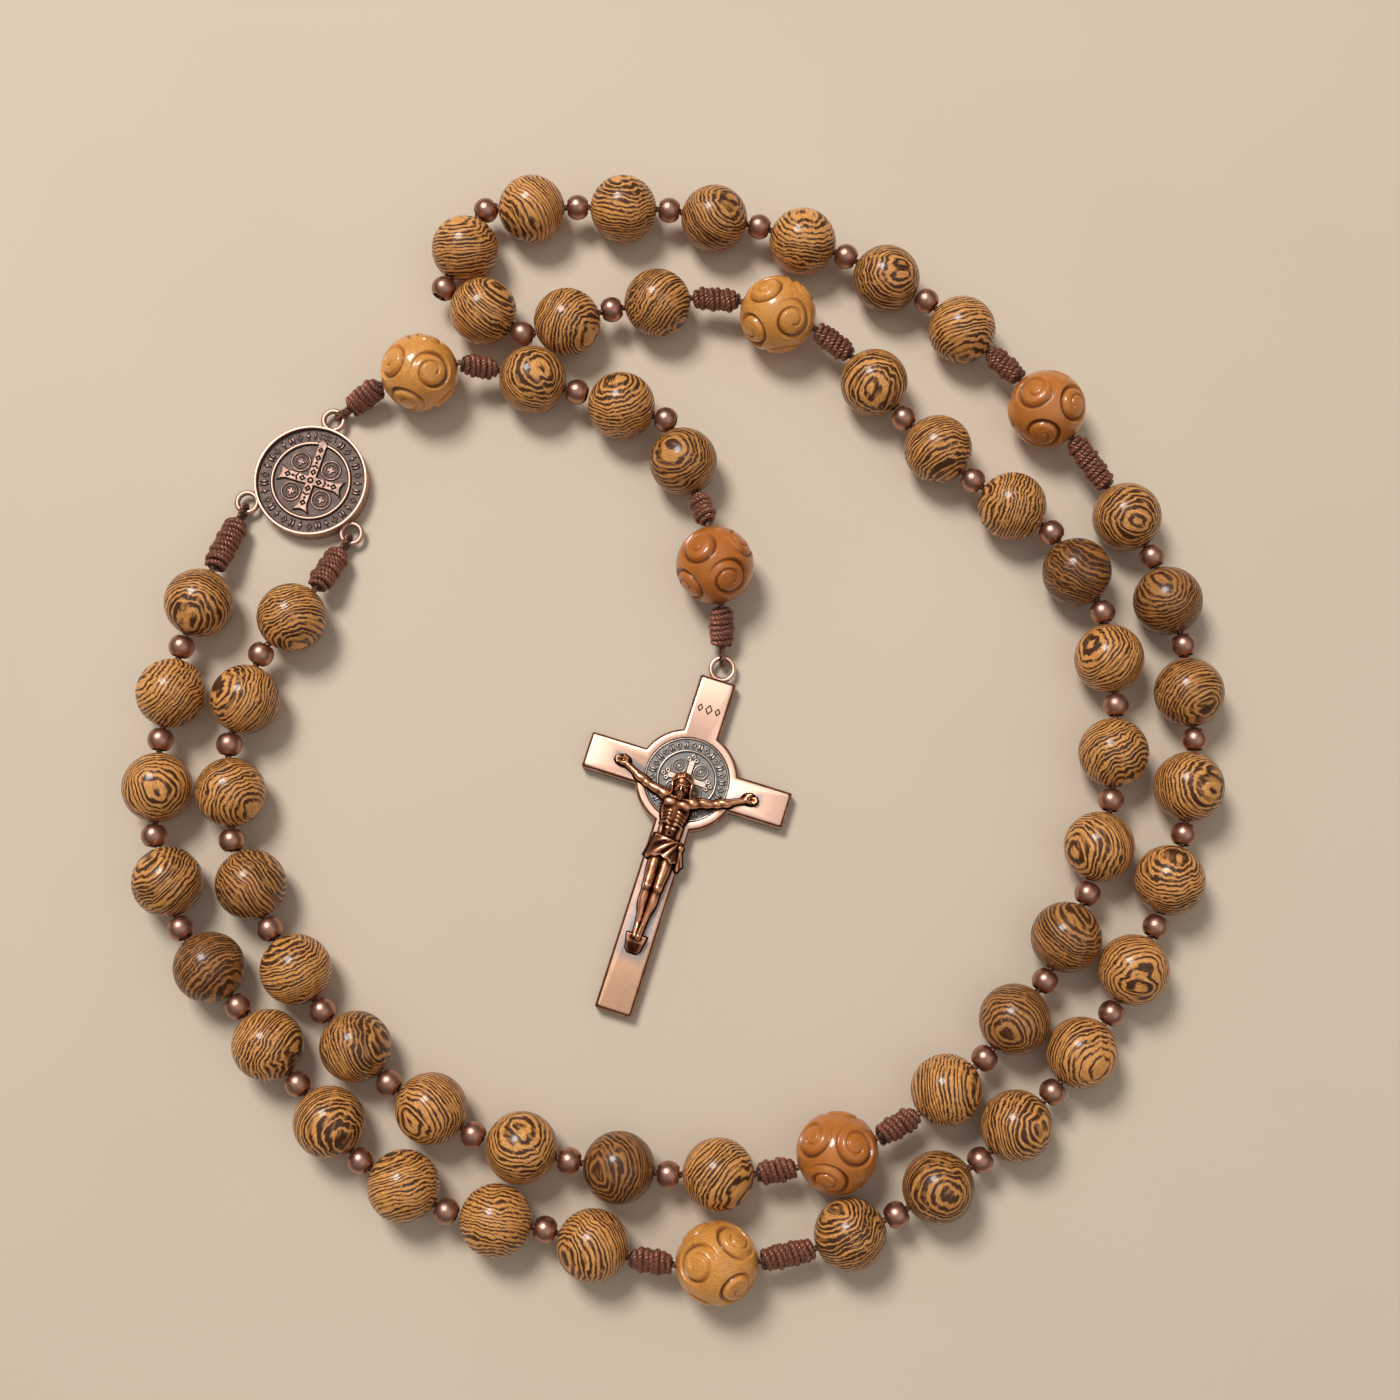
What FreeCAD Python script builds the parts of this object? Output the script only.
import FreeCAD, Part

import math
import os

import Sketcher

# A five-decade cord rosary laid out flat, in millimetres.
# The origin is the middle of the centre medal's back face, on the plane that the rosary lies on.
# +X and +Y span that plane and +Z points up from it.
#
# The loop is one closed string.  It is described as two strands that leave the medal's left and
# right rings, run side by side and meet at a spacer in the third decade.  Each strand is cut at
# some of its spacers into rigid stretches, because every spacer is a ball joint of the real string.

V = FreeCAD.Vector
UP = V(0, 0, 1)
doc = FreeCAD.newDocument("rosary")

SIZES = {
    # beads, spacers and cord
    "bead_radius": 3.9,
    "bead_bore_radius": 0.6,
    "carved_radius": 4.45,
    "carved_groove_ring_radius": 1.75,
    "carved_groove_radius": 0.32,
    "spacer_radius": 1.45,
    "spacer_bore_radius": 0.75,
    "cord_radius": 0.4,
    "eye_cord_radius": 0.34,
    "run_gap": 0.05,
    # whippings: the barrels of cord wound around the core cord
    "whipping_radius": 1.4,
    "lead_whipping_radius": 1.5,
    "whipping_end_radius": 0.9,
    "whipping_taper": 0.8,
    "whipping_bore_radius": 0.55,
    "whipping_to_eye": 0.15,
    # rings of the medal and of the cross
    "ring_height": 1.15,
    "medal_ring_radius": 1.165,
    "medal_ring_wire": 0.285,
    "cross_ring_radius": 1.31,
    "cross_ring_wire": 0.26,
    "eye_clearance": 0.05,
    # centre medal
    "medal_radius": 6.58,
    "medal_thickness": 2.2,
    "medal_rim_width": 0.38,
    "medal_recess": 0.55,
    "medal_inner_ring_radius": 4.64,
    "medal_inner_ring_width": 0.25,
    "medal_relief": 0.35,
    "medal_cross_arm": 3.9,
    "medal_cross_width": 1.1,
    "medal_roundel_radius": 0.95,
    "medal_roundel_wire": 0.14,
    "medal_roundel_distance": 2.55,
    "medal_dot_radius": 0.28,
    "medal_ring_distance": 7.8,
    # cross
    "cross_thickness": 2.0,
    "cross_width": 4.25,
    "cross_top": 12.1,
    "cross_bottom": 27.2,
    "cross_side": 11.85,
    "cross_disc_radius": 5.87,
    "cross_bevel": 0.35,
    "cross_ring_rise": 1.35,
    # medallion in the disc of the cross
    "medallion_radius": 4.75,
    "medallion_recess_radius": 4.8,
    "medallion_recess_depth": 0.6,
    "medallion_base": 0.3,
    "medallion_relief": 0.2,
    "medallion_inner_ring_radius": 3.4,
    "medallion_ring_width": 0.2,
    "medallion_cross_arm": 2.7,
    "medallion_cross_width": 0.7,
    # pegs on the back of the figure
    "peg_radius": 0.45,
    "peg_hole_radius": 0.5,
    "peg_length": 1.2,
}

sheet = doc.addObject("Spreadsheet::Sheet", "sizes")
for row, (alias, value) in enumerate(SIZES.items(), 1):
    sheet.set(f"A{row}", alias)
    sheet.set(f"B{row}", str(value))
    sheet.setAlias(f"B{row}", alias)
doc.recompute()


def size(alias):
    return float(sheet.get(alias))


def bind(target, **expressions):
    """Tie properties to the sheet: bind(ball, Radius="bead_radius")."""
    for name, text in expressions.items():
        words = [f"sizes.{word}" if word in SIZES else word for word in text.split()]
        target.setExpression(name.replace("__", "."), " ".join(words))


def make(kind, name, **expressions):
    made = doc.addObject(kind, name)
    bind(made, **expressions)
    return made


def flat(angle):
    """The level unit vector that points at an angle, in degrees from +X."""
    return V(math.cos(math.radians(angle)), math.sin(math.radians(angle)), 0)


def unit(vector):
    return V(vector).normalize()


def turn_to(direction):
    """The rotation that takes +Z to a direction."""
    return FreeCAD.Rotation(UP, direction)


# ---------------------------------------------------------------- the course of the string

BEAD_Z = size("bead_radius")
CARVED_Z = size("carved_radius")
GAP = size("run_gap")
STEP = size("bead_radius") + size("spacer_radius") + GAP
BEAD_REACH = size("bead_radius") + GAP
CARVED_REACH = size("carved_radius") + GAP
BEADS_IN_DECADE = 10
DECADES = 5

# Angle of the three rings around the medal, and where the middle of each ring lies.
RING_ANGLES = {"top": 73, "left": -162, "right": -52}
RINGS = {
    name: flat(angle) * size("medal_ring_distance") + UP * size("ring_height")
    for name, angle in RING_ANGLES.items()
}

# Heading of the string, in degrees from +X, at some beads of each decade; it changes evenly
# from one of these beads to the next.  The first decade starts at the medal's left ring.
HEADINGS = [
    {1: -109, 3: -91, 5: -52, 7: -49, 9: -10, 10: -18},
    {1: 22, 3: 42, 5: 61, 7: 81, 10: 120},
    {1: 139, 3: 160, 5: 178, 6: 182, 7: 244, 8: 329, 9: 376, 10: 369},
    {1: 308, 3: 325, 5: 276, 7: 254, 10: 219},
    {1: 180, 3: 165, 5: 134, 7: 115, 10: 52},
]
LEFT_LEAD = 13.3
# Free cord before and after each of the loop's four carved beads: whippings are wound by hand.
LOOP_WHIPPINGS = [(5.1, 6.3), (7.1, 5.2), (6.0, 5.6), (5.4, 4.7)]

PENDANT_HEADINGS = {"lead": 34, "beads": (-16, -18, -68), "cross": -90}
PENDANT_LENGTHS = {"lead": 7.2, "upper": 4.8, "lower": 4.5, "cross": 7.0}
CROSS_UP_ANGLE = 72.5


class Piece:
    """A bead, spacer or whipping of the string: its middle, its bore's direction, its ends."""

    def __init__(self, kind, name, centre, direction, reach):
        self.kind = kind
        self.name = name
        self.centre = V(centre)
        self.aim(direction, reach)

    def aim(self, direction, reach):
        self.direction = unit(direction)
        self.reach = reach

    def end(self, sign):
        return self.centre + self.direction * (sign * self.reach)


def heading_of(decade, number):
    """The string's heading at a bead of a decade."""
    marks = HEADINGS[decade - 1]
    before = max(mark for mark in marks if mark <= number)
    after = min(mark for mark in marks if mark >= number)
    if before == after:
        return marks[before]
    share = (number - before) / (after - before)
    return marks[before] * (1 - share) + marks[after] * share


def bead(name, place, angle):
    return Piece("bead", name, V(place.x, place.y, BEAD_Z), flat(angle), BEAD_REACH)


def spacer(name, place, angle):
    return Piece("spacer", name, V(place.x, place.y, BEAD_Z), flat(angle), size("spacer_radius"))


def carved(name, place, angle):
    return Piece("carved", name, V(place.x, place.y, CARVED_Z), flat(angle), CARVED_REACH)


def walk_loop():
    """Every bead and spacer of the loop, from the medal's left ring round to its right ring."""
    pieces = []
    place = RINGS["left"] + flat(heading_of(1, 1)) * LEFT_LEAD
    for decade in range(1, DECADES + 1):
        for number in range(1, BEADS_IN_DECADE + 1):
            angle = heading_of(decade, number)
            pieces.append(bead(f"bead_{decade}_{number}", place, angle))
            if number < BEADS_IN_DECADE:
                following = heading_of(decade, number + 1)
                place = place + flat(angle) * STEP
                pieces.append(spacer(f"spacer_{decade}_{number}", place, (angle + following) / 2))
                place = place + flat(following) * STEP
        if decade < DECADES:
            before, after = LOOP_WHIPPINGS[decade - 1]
            following = heading_of(decade + 1, 1)
            middle = (angle + following) / 2
            place = place + flat(angle) * BEAD_REACH + flat((angle + middle) / 2) * before
            place = place + flat(middle) * CARVED_REACH
            pieces.append(carved(f"carved_{decade}", place, middle))
            place = place + flat(middle) * CARVED_REACH + flat((middle + following) / 2) * after
            place = place + flat(following) * BEAD_REACH
    return pieces


def walk_pendant():
    """The pendant's beads and spacers from the medal outwards, and the middle of the cross's ring."""
    lead, cross = PENDANT_HEADINGS["lead"], PENDANT_HEADINGS["cross"]
    first, second, third = PENDANT_HEADINGS["beads"]
    upper, lower = (lead + first) / 2, (third + cross) / 2
    place = RINGS["top"] + flat(lead) * PENDANT_LENGTHS["lead"] + flat(upper) * CARVED_REACH
    pieces = [carved("carved_upper", place, upper)]
    place = place + flat(upper) * CARVED_REACH
    place = place + flat((upper + first) / 2) * PENDANT_LENGTHS["upper"] + flat(first) * BEAD_REACH
    pieces.append(bead("bead_upper", place, first))
    place = place + flat(first) * STEP
    pieces.append(spacer("spacer_upper", place, (first + second) / 2))
    place = place + flat(second) * STEP
    pieces.append(bead("bead_middle", place, second))
    place = place + flat(second) * STEP
    pieces.append(spacer("spacer_lower", place, (second + third) / 2))
    place = place + flat(third) * STEP
    pieces.append(bead("bead_lower", place, third))
    place = place + flat(third) * BEAD_REACH + flat((third + lower) / 2) * PENDANT_LENGTHS["lower"]
    place = place + flat(lower) * CARVED_REACH
    pieces.append(carved("carved_lower", place, lower))
    place = place + flat(lower) * CARVED_REACH + flat(cross) * PENDANT_LENGTHS["cross"]
    return pieces, V(place.x, place.y, size("ring_height"))


def eye_centre(ring, ring_radius, towards):
    """Where a ring's wire passes through the cord eye that pulls towards a point."""
    pull = V(towards.x - ring.x, towards.y - ring.y, 0)
    return ring + unit(pull) * size(ring_radius)


loop = {piece.name: piece for piece in walk_loop()}
pendant_pieces, CROSS_RING = walk_pendant()
pendant = {piece.name: piece for piece in pendant_pieces}

EYE_RADIUS = size("medal_ring_wire") + size("cord_radius") + size("eye_clearance")
EYES = {
    "left": eye_centre(RINGS["left"], "medal_ring_radius", loop["bead_1_1"].centre),
    "right": eye_centre(RINGS["right"], "medal_ring_radius", loop["bead_5_10"].end(1)),
    "top": eye_centre(RINGS["top"], "medal_ring_radius", pendant["carved_upper"].end(-1)),
    "cross": eye_centre(CROSS_RING, "cross_ring_radius", pendant["carved_lower"].end(1)),
}


def tip_carved_bead(piece, before, after):
    """A carved bead's bore lies along the line between the cord's last and next fixed points."""
    piece.aim(after - before, CARVED_REACH)


for number in range(1, DECADES):
    tip_carved_bead(
        loop[f"carved_{number}"],
        loop[f"bead_{number}_10"].end(1),
        loop[f"bead_{number + 1}_1"].end(-1),
    )
tip_carved_bead(pendant["carved_upper"], EYES["top"], pendant["bead_upper"].end(-1))
tip_carved_bead(pendant["carved_lower"], pendant["bead_lower"].end(1), EYES["cross"])

# A stretch is a rigid run of the string that turns at the spacer that the stretch before it ends
# with.  Each entry lists its pieces from the medal outwards.


def run(decade, first, last, closing_spacer=False):
    """Names of a decade's beads from first to last, with the spacers between and after them."""
    way = 1 if last >= first else -1
    names = []
    for number in range(first, last + way, way):
        names.append(f"bead_{decade}_{number}")
        gap_number = number if way == 1 else number - 1
        if number != last or closing_spacer:
            names.append(f"spacer_{decade}_{gap_number}")
    return names


STRETCHES = {
    "left_strand_1": run(1, 1, 3, True),
    "left_strand_2": run(1, 4, 8, True),
    "left_strand_3": run(1, 9, 10) + ["carved_1"] + run(2, 1, 5, True),
    "left_strand_4": run(2, 6, 10) + ["carved_2"] + run(3, 1, 1, True),
    "left_strand_5": run(3, 2, 7, True),
    "right_strand_1": run(5, 10, 8, True),
    "right_strand_2": run(5, 7, 4, True),
    "right_strand_3": run(5, 3, 1) + ["carved_4"] + run(4, 10, 8, True),
    "right_strand_4": run(4, 7, 2, True),
    "right_strand_5": ["bead_4_1", "carved_3"] + run(3, 10, 8),
    "pendant_upper": ["carved_upper", "bead_upper", "spacer_upper"],
    "pendant_middle": ["bead_middle", "spacer_lower"],
    "pendant_lower": ["bead_lower", "carved_lower"],
}
STARTS_AT_EYE = {"left_strand_1": "left", "right_strand_1": "right", "pendant_upper": "top"}
ENDS_AT_EYE = {"pendant_lower": "cross"}
ALL_PIECES = {**loop, **pendant}


def outward(stretch):
    """The pieces of a stretch in order, with the direction of each turned away from the medal."""
    sign = -1 if stretch.startswith("right") else 1
    pieces = []
    for name in STRETCHES[stretch]:
        piece = ALL_PIECES[name]
        pieces.append(Piece(piece.kind, name, piece.centre, piece.direction * sign, piece.reach))
    return pieces


for stretch in STRETCHES:
    # The spacer that closes a stretch is threaded straight on the cord of that stretch.
    closing, before = outward(stretch)[-1], outward(stretch)[-2]
    if closing.kind == "spacer":
        ALL_PIECES[closing.name].direction = V(ALL_PIECES[before.name].direction)

# ---------------------------------------------------------------- beads and spacers


GROOVES = 6
GROOVE_TILT = 12


def drilled_ball(name, radius, bore):
    """A ball with a hole through it along its own Z."""
    ball = make("Part::Sphere", f"{name}_ball", Radius=radius)
    hole = make("Part::Cylinder", f"{name}_hole", Radius=bore, Height=f"{radius} * 2.2")
    bind(hole, Placement__Base__z=f"{radius} * -1.1")
    drilled = doc.addObject("Part::Cut", name)
    drilled.Base = ball
    drilled.Tool = hole
    return drilled


def place_on_string(target, piece):
    target.Placement = FreeCAD.Placement(piece.centre, turn_to(piece.direction))
    return target


def carve(name, ball):
    """Ring grooves around a ball's waist, tipped to one end of the bore and the other by turns."""
    rings = []
    for number in range(GROOVES):
        angle = 360 / GROOVES * number
        tilt = GROOVE_TILT if number % 2 else -GROOVE_TILT
        ring = make(
            "Part::Torus",
            f"{name}_groove_{number + 1}",
            Radius1="carved_groove_ring_radius",
            Radius2="carved_groove_radius",
        )
        out = FreeCAD.Rotation(UP, angle) * FreeCAD.Rotation(V(0, 1, 0), 90 + tilt)
        depth = math.sqrt(size("carved_radius") ** 2 - size("carved_groove_ring_radius") ** 2)
        ring.Placement = FreeCAD.Placement(out.multVec(UP * depth), out)
        rings.append(ring)
    grooves = doc.addObject("Part::MultiFuse", f"{name}_grooves")
    grooves.Shapes = rings
    carved_ball = doc.addObject("Part::Cut", f"{name}_carved")
    carved_ball.Base = ball
    carved_ball.Tool = grooves
    return carved_ball


nodes = {}


def keep(label, target):
    """Name a finished sub-part."""
    target.Label = label
    nodes[label] = target


def group(label, members):
    """Separate identical pieces of one stretch, kept as one sub-part."""
    compound = doc.addObject("Part::Compound", label)
    compound.Links = members
    keep(label, compound)


def build_beads(stretch):
    beads, spacers = [], []
    for piece in (ALL_PIECES[name] for name in STRETCHES[stretch]):
        if piece.kind == "bead":
            ball = drilled_ball(piece.name, "bead_radius", "bead_bore_radius")
            beads.append(place_on_string(ball, piece))
        elif piece.kind == "spacer":
            ball = drilled_ball(piece.name, "spacer_radius", "spacer_bore_radius")
            spacers.append(place_on_string(ball, piece))
    if stretch.startswith("pendant"):
        keep(f"{stretch}_bead", beads[0])
        if spacers:
            keep(f"{stretch}_spacer", spacers[0])
        return
    group(f"{stretch}_beads", beads)
    group(f"{stretch}_spacers", spacers)


def build_carved_bead(piece):
    ball = drilled_ball(f"{piece.name}_plain", "carved_radius", "bead_bore_radius")
    label = piece.name.replace("carved", "carved_bead")
    keep(label, place_on_string(carve(piece.name, ball), piece))


# ---------------------------------------------------------------- cord and whippings

# How far from a bead's middle, and from a spacer's, a cut end of the cord lies.
MOUTH = math.sqrt(size("bead_radius") ** 2 - size("bead_bore_radius") ** 2)
SPACER_MOUTH = 1.2
# How far before and after a corner the cord starts to turn, and how far it enters its eye.
CORNER = 0.8
EYE_BITE = 0.1


def cord_corners(stretch):
    """The points between which a stretch's cord runs straight."""
    pieces = outward(stretch)
    corners = []
    if stretch in STARTS_AT_EYE:
        corners.append(EYES[STARTS_AT_EYE[stretch]])
        corners.append(pieces[0].end(-1))
    else:
        corners.append(pieces[0].centre - pieces[0].direction * MOUTH)
    for piece, following in zip(pieces, pieces[1:]):
        if piece.kind == "spacer":
            corners.append(piece.centre)
        elif "spacer" not in (piece.kind, following.kind):
            corners += [piece.end(1), following.end(-1)]
    last = pieces[-1]
    if stretch in ENDS_AT_EYE:
        corners += [last.end(1), EYES[ENDS_AT_EYE[stretch]]]
    elif last.kind == "spacer":
        corners.append(last.centre + pieces[-2].direction * SPACER_MOUTH)
    else:
        corners.append(last.centre + last.direction * MOUTH)
    if stretch in STARTS_AT_EYE:
        corners[0] = corners[0] + unit(corners[1] - corners[0]) * (EYE_RADIUS - EYE_BITE)
    if stretch in ENDS_AT_EYE:
        corners[-1] = corners[-1] + unit(corners[-2] - corners[-1]) * (EYE_RADIUS - EYE_BITE)
    return corners


def rounded_wire(corners):
    """Straight edges between the corners, with a small tangent arc at each inner corner."""
    edges = []
    start = corners[0]
    for before, corner, after in zip(corners, corners[1:], corners[2:]):
        arriving = unit(corner - before)
        leaving = unit(after - corner)
        bend = arriving.getAngle(leaving)
        if bend < 1e-4:
            continue
        cut = min(CORNER, (corner - before).Length * 0.45, (after - corner).Length * 0.45)
        enter = corner - arriving * cut
        leave = corner + leaving * cut
        middle = corner + unit(leaving - arriving) * (cut * math.tan(bend / 4))
        edges.append(Part.makeLine(start, enter))
        edges.append(Part.Arc(enter, middle, leave).toShape())
        start = leave
    edges.append(Part.makeLine(start, corners[-1]))
    return Part.Wire(edges)


def build_cord(stretch):
    corners = cord_corners(stretch)
    spine = doc.addObject("Part::Feature", f"{stretch}_cord_line")
    spine.Shape = rounded_wire(corners)
    profile = make("Part::Circle", f"{stretch}_cord_section", Radius="cord_radius")
    profile.Placement = FreeCAD.Placement(corners[0], turn_to(unit(corners[1] - corners[0])))
    sweep = doc.addObject("Part::Sweep", f"{stretch}_cord_run")
    sweep.Sections = [profile]
    sweep.Spine = (spine, [f"Edge{number + 1}" for number in range(len(spine.Shape.Edges))])
    sweep.Solid = True
    sweep.Frenet = False
    end = STARTS_AT_EYE.get(stretch) or ENDS_AT_EYE.get(stretch)
    if end is None:
        keep(f"{stretch}_cord", sweep)
        return
    eye = make("Part::Torus", f"{stretch}_eye", Radius2="eye_cord_radius")
    bind(eye, Radius1="medal_ring_wire + cord_radius + eye_clearance")
    pull = corners[1] - corners[0] if stretch in STARTS_AT_EYE else corners[-1] - corners[-2]
    eye.Placement = FreeCAD.Placement(EYES[end], turn_to(unit(V(-pull.y, pull.x, 0))))
    whole = doc.addObject("Part::MultiFuse", f"{stretch}_cord")
    whole.Shapes = [sweep, eye]
    keep(f"{stretch}_cord", whole)


def build_whipping(name, start, end, bends, radius):
    """A barrel wound round the straight cord from start to end; bends are the cord's turns there."""
    along = unit(end - start)
    rim = size("whipping_end_radius")
    start = start + along * (rim * math.sin(bends[0]))
    end = end - along * (rim * math.sin(bends[1]))
    length = (end - start).Length
    first = make(
        "Part::Cone",
        f"{name}_first_taper",
        Radius1="whipping_end_radius",
        Radius2=radius,
        Height="whipping_taper",
    )
    last = make(
        "Part::Cone",
        f"{name}_last_taper",
        Radius1=radius,
        Radius2="whipping_end_radius",
        Height="whipping_taper",
    )
    middle = make("Part::Cylinder", f"{name}_middle", Radius=radius)
    bind(middle, Height=f"{length} - whipping_taper * 2", Placement__Base__z="whipping_taper")
    bind(last, Placement__Base__z=f"{length} - whipping_taper")
    barrel = doc.addObject("Part::MultiFuse", f"{name}_barrel")
    barrel.Shapes = [first, middle, last]
    bore = make("Part::Cylinder", f"{name}_bore", Radius="whipping_bore_radius")
    bind(bore, Height=f"{length} + 2", Placement__Base__z="-1")
    whipping = doc.addObject("Part::Cut", name)
    whipping.Base = barrel
    whipping.Tool = bore
    whipping.Placement = FreeCAD.Placement(start, turn_to(along))
    return whipping


EYE_TO_WHIPPING = EYE_RADIUS + size("cord_radius") + size("whipping_to_eye")


def lead_whipping(name, eye, piece, sign):
    """The long barrel between a cord eye and the first or last bead beside it."""
    mouth = piece.end(sign)
    along = unit(mouth - eye)
    bend = along.getAngle(piece.direction * -sign)
    start = eye + along * EYE_TO_WHIPPING
    return build_whipping(name, start, mouth, (0, bend), "lead_whipping_radius")


def build_whippings(stretch):
    pieces = outward(stretch)
    barrels = []
    if stretch in STARTS_AT_EYE:
        eye = EYES[STARTS_AT_EYE[stretch]]
        barrels.append(lead_whipping(f"{stretch}_whipping_lead", eye, pieces[0], -1))
    for piece, following in zip(pieces, pieces[1:]):
        if "spacer" in (piece.kind, following.kind):
            continue
        start, end = piece.end(1), following.end(-1)
        bends = (
            piece.direction.getAngle(end - start),
            following.direction.getAngle(end - start),
        )
        name = f"{stretch}_whipping_{len(barrels) + 1}"
        barrels.append(build_whipping(name, start, end, bends, "whipping_radius"))
    if stretch in ENDS_AT_EYE:
        eye = EYES[ENDS_AT_EYE[stretch]]
        barrels.append(lead_whipping(f"{stretch}_whipping_lead", eye, pieces[-1], 1))
    if len(barrels) == 1:
        keep(f"{stretch}_whipping", barrels[0])
    elif barrels:
        group(f"{stretch}_whippings", barrels)


# ---------------------------------------------------------------- centre medal


def origin_item(body, role):
    """A plane or an axis of a body's origin."""
    return next(item for item in body.Origin.OriginFeatures if item.Role == role)


def flat_sketch(body, name, height):
    """A sketch on a body's XY plane, lifted to a height given as words of the sheet."""
    sketch = body.newObject("Sketcher::SketchObject", name)
    sketch.AttachmentSupport = [(origin_item(body, "XY_Plane"), "")]
    sketch.MapMode = "FlatFace"
    bind(sketch, AttachmentOffset__Base__z=height)
    return sketch


def add_circle(sketch, radius, x=0.0, y=0.0):
    """A circle whose radius follows the sheet."""
    index = sketch.addGeometry(Part.Circle(V(x, y, 0), UP, 1.0), False)
    constraint = sketch.addConstraint(Sketcher.Constraint("Radius", index, 1.0))
    bind(sketch, **{f"Constraints[{constraint}]": radius})
    return index


def pad(body, name, sketch, length):
    feature = body.newObject("PartDesign::Pad", name)
    feature.Profile = sketch
    bind(feature, Length=length)
    sketch.Visibility = False
    doc.recompute()
    return feature


def disc_with_rings(body, radius, thickness, rings):
    """A round plate with round bands standing on it; rings are (outer, inner, base, rise)."""
    pad(body, "plate", add_plate_sketch(body, radius), thickness)
    for number, (outer, inner, base, rise) in enumerate(rings, 1):
        sketch = flat_sketch(body, f"band_sketch_{number}", base)
        add_circle(sketch, outer)
        add_circle(sketch, inner)
        doc.recompute()
        pad(body, f"band_{number}", sketch, rise)


def add_plate_sketch(body, radius):
    sketch = flat_sketch(body, "plate_sketch", "0")
    add_circle(sketch, radius)
    doc.recompute()
    return sketch


def polar_dots(body, name, radius, distance, count, base, rise, angle=0.0):
    """Round studs evenly spaced on a circle."""
    sketch = flat_sketch(body, f"{name}_sketch", base)
    place = flat(angle) * distance
    add_circle(sketch, radius, place.x, place.y)
    doc.recompute()
    stud = pad(body, f"{name}_stud", sketch, rise)
    pattern = body.newObject("PartDesign::PolarPattern", name)
    pattern.Originals = [stud]
    pattern.Axis = (origin_item(body, "Z_Axis"), [""])
    pattern.Angle = 360
    pattern.Occurrences = count
    body.Tip = pattern
    doc.recompute()


# Relief is sunk this deep into the plate it stands on, so that the two fuse.
SINK = 0.1
# A flared bar widens from this share of its length, by this factor, and its end is cut in to this share.
FLARE_START = 0.75
FLARE = 1.5
NOTCH = 0.94


def flared_cross(name, width, arm, long_arm, height, rise):
    """A cross on a plate: three bars that widen towards their ends and a plain one along +Y."""
    bars = []
    side, flare = V(0, width / 2, 0), V(0, width * FLARE / 2, 0)
    for number, reach in enumerate((arm, long_arm, arm, arm)):
        neck, end, notch = V(reach * FLARE_START, 0, 0), V(reach, 0, 0), V(reach * NOTCH, 0, 0)
        outline = [-side, neck - side, end - flare, notch, end + flare, neck + side, side]
        if number == 1:
            outline = [-side, end - side, end + side, side]
        face = Part.Face(Part.makePolygon(outline + [outline[0]]))
        bar = face.extrude(UP * rise)
        bar.rotate(V(), UP, 90 * number)
        bars.append(bar)
    shape = bars[0].multiFuse(bars[1:]).removeSplitter()
    feature = doc.addObject("Part::Feature", name)
    feature.Shape = shape
    feature.Placement = FreeCAD.Placement(UP * height, FreeCAD.Rotation())
    return feature


def build_medal():
    """The cast centre medal: plate, rim, inner ring, studs, cross, roundels and three edge rings."""
    body = doc.addObject("PartDesign::Body", "medal_plate")
    floor = "medal_thickness - medal_recess"
    rings = [
        ("medal_radius", "medal_radius - medal_rim_width", floor, "medal_recess"),
        (
            "medal_inner_ring_radius",
            "medal_inner_ring_radius - medal_inner_ring_width",
            floor,
            "medal_relief",
        ),
    ]
    disc_with_rings(body, "medal_radius", floor, rings)
    band = (size("medal_radius") - size("medal_rim_width") + size("medal_inner_ring_radius")) / 2
    polar_dots(body, "studs", "medal_dot_radius", band, 24, floor, "medal_relief * 0.6")
    top = size("medal_thickness") - size("medal_recess")
    cross = flared_cross(
        "medal_cross",
        size("medal_cross_width"),
        size("medal_cross_arm"),
        size("medal_inner_ring_radius") - size("medal_inner_ring_width") / 2,
        top - SINK,
        size("medal_relief") + SINK,
    )
    members = [body, cross]
    for number in range(4):
        roundel = make(
            "Part::Torus",
            f"medal_roundel_{number + 1}",
            Radius1="medal_roundel_radius",
            Radius2="medal_roundel_wire",
        )
        place = flat(45 + 90 * number) * size("medal_roundel_distance")
        roundel.Placement.Base = place + UP * top
        members.append(roundel)
    relief = doc.addObject("Part::MultiFuse", "medal_face")
    relief.Shapes = members
    relief.Placement = FreeCAD.Placement(V(), FreeCAD.Rotation(UP, RING_ANGLES["top"] - 90))
    whole = [relief]
    for name, centre in RINGS.items():
        ring = make(
            "Part::Torus",
            f"medal_{name}_ring",
            Radius1="medal_ring_radius",
            Radius2="medal_ring_wire",
        )
        ring.Placement.Base = centre
        whole.append(ring)
    medal = doc.addObject("Part::MultiFuse", "centre_medal")
    medal.Shapes = whole
    keep("centre_medal", medal)


# ---------------------------------------------------------------- crucifix

CROSS_CENTRE = CROSS_RING - flat(CROSS_UP_ANGLE) * (size("cross_top") + size("cross_ring_rise"))
CROSS_CENTRE.z = 0
CROSS_PLACE = FreeCAD.Placement(CROSS_CENTRE, FreeCAD.Rotation(UP, CROSS_UP_ANGLE - 90))
PEGS = (-8.6, -19.2)


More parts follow.
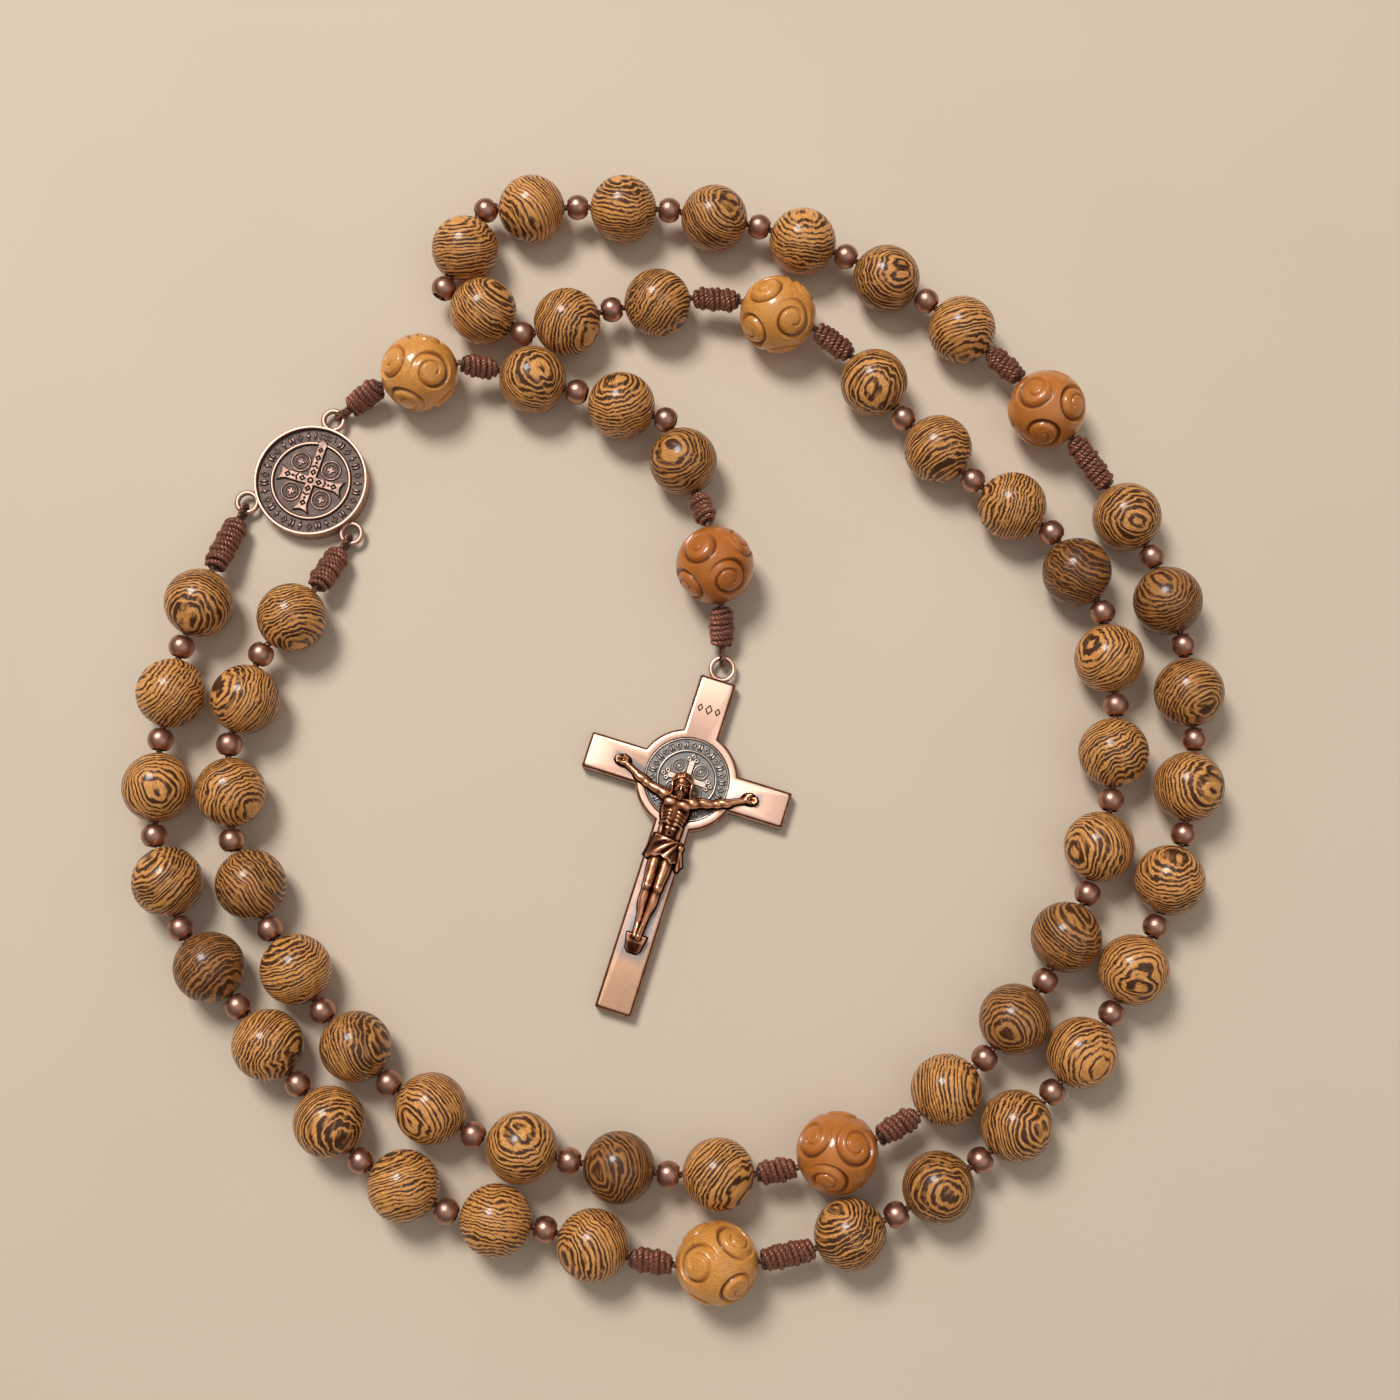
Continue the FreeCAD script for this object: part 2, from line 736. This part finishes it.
def build_cross():
    """The cross: two bars and a disc with bevelled front edges, a recess, peg holes and a ring."""
    upright = make(
        "Part::Box",
        "cross_upright",
        Length="cross_width",
        Width="cross_top + cross_bottom",
        Height="cross_thickness",
        Placement__Base__x="cross_width * -0.5",
        Placement__Base__y="cross_bottom * -1",
    )
    beam = make(
        "Part::Box",
        "cross_beam",
        Length="cross_side * 2",
        Width="cross_width",
        Height="cross_thickness",
        Placement__Base__x="cross_side * -1",
        Placement__Base__y="cross_width * -0.5",
    )
    disc = make("Part::Cylinder", "cross_disc", Radius="cross_disc_radius", Height="cross_thickness")
    blank = doc.addObject("Part::MultiFuse", "cross_blank")
    blank.Shapes = [upright, beam, disc]
    blank.Refine = True
    doc.recompute()
    top = size("cross_thickness")
    bevelled = doc.addObject("Part::Chamfer", "cross_bevelled")
    bevelled.Base = blank
    bevel = size("cross_bevel")
    bevelled.Edges = [
        (number, bevel, bevel)
        for number, edge in enumerate(blank.Shape.Edges, 1)
        if all(abs(vertex.Z - top) < 1e-6 for vertex in edge.Vertexes)
    ]
    recess = make(
        "Part::Cylinder",
        "cross_recess",
        Radius="medallion_recess_radius",
        Height="medallion_recess_depth + 1",
        Placement__Base__z="cross_thickness - medallion_recess_depth",
    )
    tools = [recess]
    for number, y in enumerate(PEGS, 1):
        hole = make(
            "Part::Cylinder",
            f"cross_peg_hole_{number}",
            Radius="peg_hole_radius",
            Height="peg_length + 1.1",
            Placement__Base__z="cross_thickness - peg_length - 0.1",
        )
        hole.Placement.Base.y = y
        tools.append(hole)
    cuts = doc.addObject("Part::MultiFuse", "cross_cuts")
    cuts.Shapes = tools
    plate = doc.addObject("Part::Cut", "cross_plate")
    plate.Base = bevelled
    plate.Tool = cuts
    ring = make(
        "Part::Torus",
        "cross_ring",
        Radius1="cross_ring_radius",
        Radius2="cross_ring_wire",
        Placement__Base__y="cross_top + cross_ring_rise",
        Placement__Base__z="ring_height",
    )
    cross = doc.addObject("Part::MultiFuse", "cross")
    cross.Shapes = [plate, ring]
    cross.Placement = CROSS_PLACE
    keep("cross", cross)


def build_medallion():
    """The inlaid medallion: a disc with two raised rings, studs and a small flared cross."""
    body = doc.addObject("PartDesign::Body", "medallion_plate")
    rings = [
        (
            "medallion_radius",
            "medallion_radius - medallion_ring_width",
            "medallion_base",
            "medallion_relief",
        ),
        (
            "medallion_inner_ring_radius",
            "medallion_inner_ring_radius - medallion_ring_width",
            "medallion_base",
            "medallion_relief",
        ),
    ]
    disc_with_rings(body, "medallion_radius", "medallion_base", rings)
    band = (size("medallion_radius") + size("medallion_inner_ring_radius")) / 2 - 0.1
    polar_dots(body, "medallion_studs", "medal_dot_radius", band, 20, "medallion_base", "medallion_relief")
    height = size("medallion_base")
    relief = size("medallion_relief")
    width, arm = size("medallion_cross_width"), size("medallion_cross_arm")
    cross = flared_cross("medallion_cross", width, arm, arm, height - SINK, relief + SINK)
    medallion = doc.addObject("Part::MultiFuse", "medallion")
    medallion.Shapes = [body, cross]
    lift = UP * (size("cross_thickness") - size("medallion_recess_depth"))
    medallion.Placement = FreeCAD.Placement(CROSS_CENTRE + lift, CROSS_PLACE.Rotation)
    keep("medallion", medallion)


def limb(start, end, start_radius, end_radius):
    """A round tapered limb between two points, with round ends."""
    start, end = V(*start), V(*end)
    way = end - start
    cone = Part.makeCone(start_radius, end_radius, way.Length, start, unit(way))
    return [Part.makeSphere(start_radius, start), cone, Part.makeSphere(end_radius, end)]


# The block under the figure's feet: width, height and depth, and the height of its foot.
FOOT_BLOCK = V(2.5, 2.6, 0.8)
FOOT_BLOCK_FOOT = -20.6


def figure_shape():
    """The figure in the cross's own frame: X across, Y up the cross, its back on Z = 0."""
    limbs = [
        ((-0.2, -0.45, 1.15), (-0.2, -1.25, 1.2), 1.15, 0.85),  # head
        ((-0.2, -1.8, 0.9), (-0.15, -3.0, 0.6), 0.6, 0.7),  # neck
        ((0.1, -8.2, 0.3), (0.1, -9.2, 0.35), 1.35, 1.3),  # loincloth
        ((0.0, -17.4, 0.7), (0.0, -18.6, 0.95), 0.62, 0.55),  # crossed feet
    ]
    for side in (-1, 1):
        limbs += [
            ((0.85 * side - 0.1, -3.1, 0.35), (0.45 * side - 0.05, -6.9, 0.3), 1.05, 0.9),  # trunk
            ((1.6 * side, -2.7, 0.75), (4.3 * side, -1.85, 0.55), 0.62, 0.5),  # upper arm
            ((4.3 * side, -1.85, 0.55), (7.9 * side, 0.05, 0.35), 0.48, 0.4),  # forearm and hand
            ((0.8 * side, -8.6, 0.5), (0.72 * side - 0.1, -13.0, 0.75), 1.0, 0.68),  # thigh
            ((0.72 * side - 0.1, -13.0, 0.75), (0.35 * side, -17.6, 0.6), 0.66, 0.42),  # shin
        ]
    corner = V(-FOOT_BLOCK.x / 2, FOOT_BLOCK_FOOT, 0)
    whole = Part.makeBox(FOOT_BLOCK.x, FOOT_BLOCK.y, FOOT_BLOCK.z, corner)
    above = Part.makeBox(30, 40, 10, V(-15, -30, 0))
    for start, end, start_radius, end_radius in limbs:
        for solid in limb(start, end, start_radius, end_radius):
            whole = whole.fuse(solid.common(above))
    return whole


def build_figure():
    """The figure, with two pegs that enter the cross."""
    pegs = [
        Part.makeCylinder(size("peg_radius"), size("peg_length") + 0.3, V(0, y, -size("peg_length")))
        for y in PEGS
    ]
    figure = doc.addObject("Part::Feature", "figure")
    figure.Shape = figure_shape().multiFuse(pegs)
    lift = UP * size("cross_thickness")
    figure.Placement = FreeCAD.Placement(CROSS_CENTRE + lift, CROSS_PLACE.Rotation)
    keep("figure", figure)


# ---------------------------------------------------------------- build, check and write

build_medal()
for stretch in STRETCHES:
    build_beads(stretch)
    build_cord(stretch)
    build_whippings(stretch)
for piece in ALL_PIECES.values():
    if piece.kind == "carved":
        build_carved_bead(piece)
build_cross()
build_medallion()
build_figure()
doc.recompute()

for item in doc.Objects:
    assert not {"Invalid", "Error"} & set(item.State), f"{item.Name} failed: {item.State}"
for label, item in nodes.items():
    assert item.Label == label, f"{label} is labelled {item.Label}"
    assert not item.Shape.isNull() and item.Shape.isValid(), f"{label} has no valid shape"
    assert item.Shape.Solids, f"{label} has no solid"

os.makedirs("parts", exist_ok=True)
for label, item in nodes.items():
    item.Shape.exportStep(f"parts/{label}.step")
print(f"{len(nodes)} sub-parts, {sum(len(item.Shape.Solids) for item in nodes.values())} solids")
